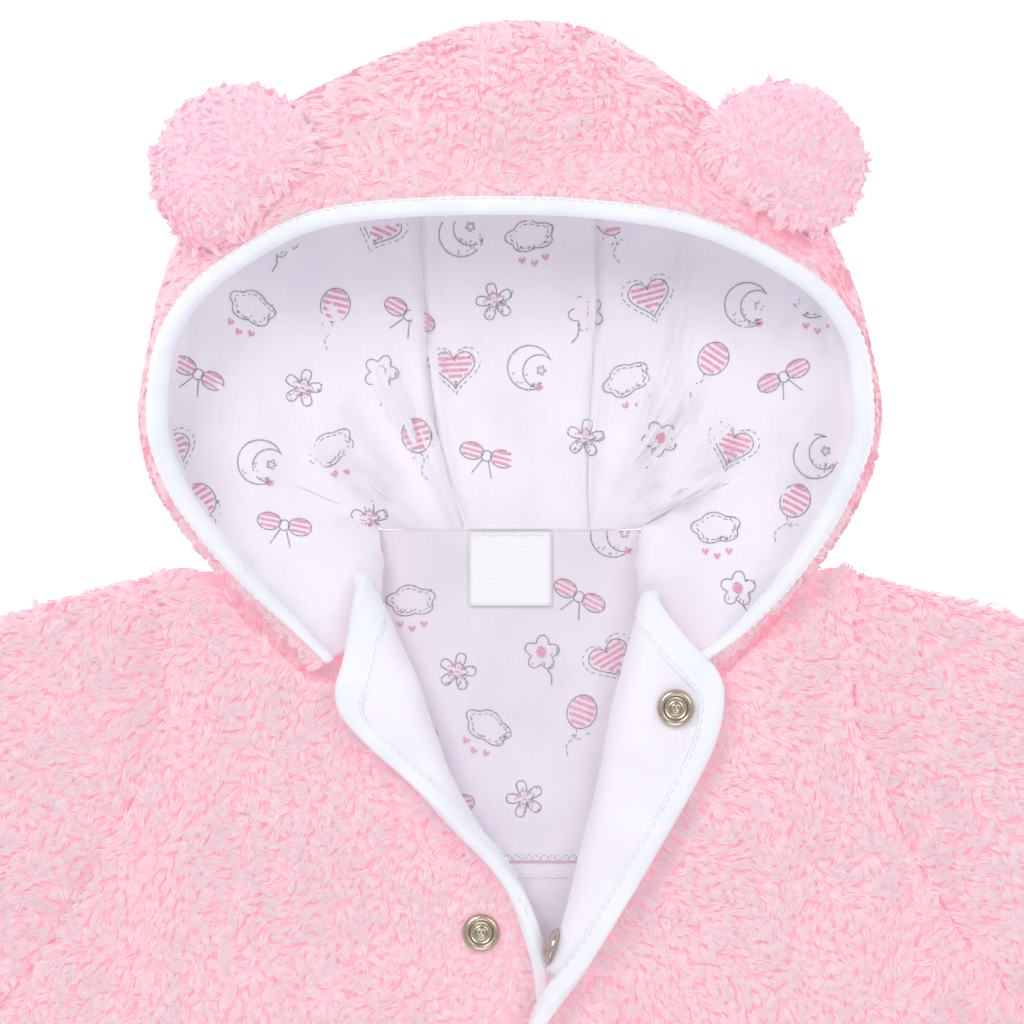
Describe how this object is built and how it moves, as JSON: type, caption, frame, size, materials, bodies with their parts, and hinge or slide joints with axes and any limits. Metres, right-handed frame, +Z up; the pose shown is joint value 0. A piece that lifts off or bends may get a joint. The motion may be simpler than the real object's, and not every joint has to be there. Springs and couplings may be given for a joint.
{
  "type": "hooded plush baby coat",
  "caption": "Long-sleeved baby's coat in long-pile plush, laid flat with its neck open: lined hood with two padded round ears, taped edges and press studs.",
  "frame": {"origin": "centre of the bounding box's bottom face, on the surface that the coat lies on", "axes": "+X from the wearer's right to the wearer's left, +Y from the hem to the hood, +Z up from the surface"},
  "size_m": [0.602, 0.495, 0.0561],
  "materials": {
    "pink_plush": "long-pile polyester plush, soft sheen",
    "ear_plush": "shorter, smoother plush",
    "printed_lining": "cotton jersey, matt, with a small printed motif",
    "plain_lining": "plain cotton jersey, matt",
    "white_tape": "folded cotton binding, stitched",
    "woven_label": "woven satin ribbon",
    "nickel": "nickel-plated brass, polished"
  },
  "bodies": {
    "root": {"back": "pink_plush", "front_left": "pink_plush", "front_right": "pink_plush", "sleeve_left": "pink_plush", "sleeve_right": "pink_plush", "hood_centre": "pink_plush", "hood_side_left": "pink_plush", "hood_side_right": "pink_plush", "ear_left_front": "ear_plush", "ear_left_back": "ear_plush", "ear_right_front": "ear_plush", "ear_right_back": "ear_plush", "hood_lining_centre": "printed_lining", "hood_lining_left": "printed_lining", "hood_lining_right": "printed_lining", "back_lining_print": "printed_lining", "back_lining_plain": "plain_lining", "facing_left": "plain_lining", "facing_right": "plain_lining", "binding_left": "white_tape", "binding_right": "white_tape", "hood_binding": "white_tape", "label": "woven_label", "stud_lapel": "nickel", "stud_fold": "nickel", "stud_front": "nickel", "stud_lower_1": "nickel", "stud_lower_2": "nickel"}
  },
  "joints": []
}
